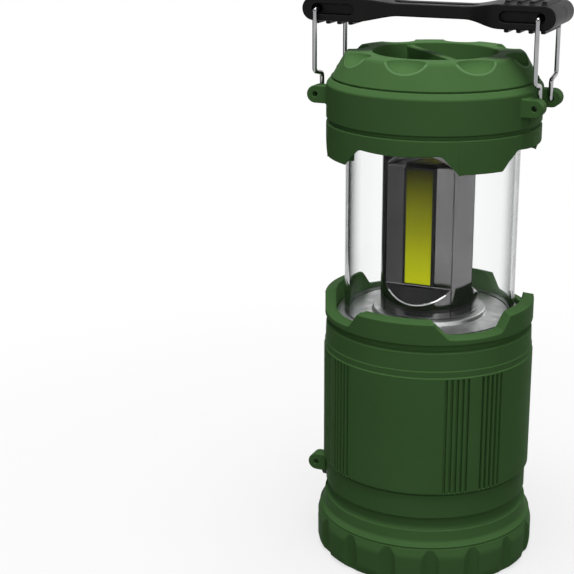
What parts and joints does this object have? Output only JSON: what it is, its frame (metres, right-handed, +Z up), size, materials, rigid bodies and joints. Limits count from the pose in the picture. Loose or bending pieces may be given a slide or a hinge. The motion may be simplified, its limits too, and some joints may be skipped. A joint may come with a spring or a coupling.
{
  "type": "camping lantern",
  "caption": "Pull-up camping lantern with a clear tube and bright column, a spotlight in its fluted foot, a scalloped battery cover and a folding wire handle with a moulded grip.",
  "frame": {"origin": "middle of the flat ring of the fluted bezel that the lantern stands on", "axes": "+X along the grip, away from the side with the button; +Y away from the front, along the handle's hinge wires; +Z up, along the slide"},
  "size_m": [0.099, 0.0886, 0.2259],
  "materials": {
    "green_plastic": "matte",
    "black_plastic": "satin",
    "red_plastic": "satin",
    "black_rubber": "matte",
    "clear_plastic": "gloss",
    "metallised_plastic": "polished",
    "steel_wire": "polished",
    "contact_brass": "satin",
    "board": "satin",
    "phosphor": "satin",
    "cell_jacket": "satin",
    "white_plastic": "satin"
  },
  "bodies": {
    "base": {"bezel": "green_plastic", "lens_seal": "black_rubber", "lens": "clear_plastic", "reflector": "metallised_plastic", "spot_emitter": "phosphor", "spot_board": "board", "base_housing": "green_plastic", "switch_plate": "green_plastic", "button_rim": "black_plastic", "tact_switch": "black_plastic", "switch_board": "board", "rail_left": "contact_brass", "rail_right": "contact_brass"},
    "lantern": {"carrier": "white_plastic", "driver_board": "board", "wiper_left": "contact_brass", "wiper_right": "contact_brass", "floor_plate": "metallised_plastic", "tube": "clear_plastic", "column": "metallised_plastic", "strip_front": "phosphor", "strip_right": "phosphor", "strip_left": "phosphor", "cell_1": "cell_jacket", "cell_2": "cell_jacket", "cell_3": "cell_jacket", "cell_contact_1": "contact_brass", "cell_contact_2": "contact_brass", "cell_contact_3": "contact_brass", "cap_shell": "green_plastic"},
    "button": {"button": "red_plastic"},
    "cover_seal": {"cover_seal": "black_rubber"},
    "cover": {"cover": "green_plastic", "cover_contact": "contact_brass"},
    "left_bail": {"left_bail": "steel_wire"},
    "right_bail": {"right_bail": "steel_wire"},
    "grip": {"grip": "black_plastic"}
  },
  "joints": [
    {"name": "lantern_slide", "type": "slide", "parent": "base", "child": "lantern", "axis": [0, 0, 1], "range_m": [-0.063, 0]},
    {"name": "button_press", "type": "slide", "parent": "base", "child": "button", "axis": [1, 0, 0], "range_m": [0, 0.0012], "stiffness_N_per_m": 800, "springref_m": -0.001},
    {"name": "cover_lift", "type": "slide", "parent": "lantern", "child": "cover_seal", "axis": [0, 0, 1], "range_m": [0, 0.005]},
    {"name": "cover_turn", "type": "hinge", "parent": "cover_seal", "child": "cover", "pos_m": [0, 0, 0.1945], "axis": [0, 0, 1], "range_deg": [0, 360]},
    {"name": "handle_swing", "type": "hinge", "parent": "lantern", "child": "left_bail", "pos_m": [-0.0434, 0, 0.1874], "axis": [0, 1, 0], "range_deg": [-18, 18]},
    {"name": "right_bail_swing", "type": "hinge", "parent": "lantern", "child": "right_bail", "pos_m": [0.0434, 0, 0.1874], "axis": [0, 1, 0], "range_deg": [-18, 18]},
    {"name": "grip_level", "type": "hinge", "parent": "left_bail", "child": "grip", "pos_m": [-0.0434, 0, 0.22], "axis": [0, 1, 0], "range_deg": [-18, 18]}
  ],
  "couplings": [
    {"joint": "cover_lift", "follows": "cover_turn", "m_per_rad": 0.00079577},
    {"joint": "right_bail_swing", "follows": "handle_swing", "ratio": 1},
    {"joint": "grip_level", "follows": "handle_swing", "ratio": -1}
  ]
}
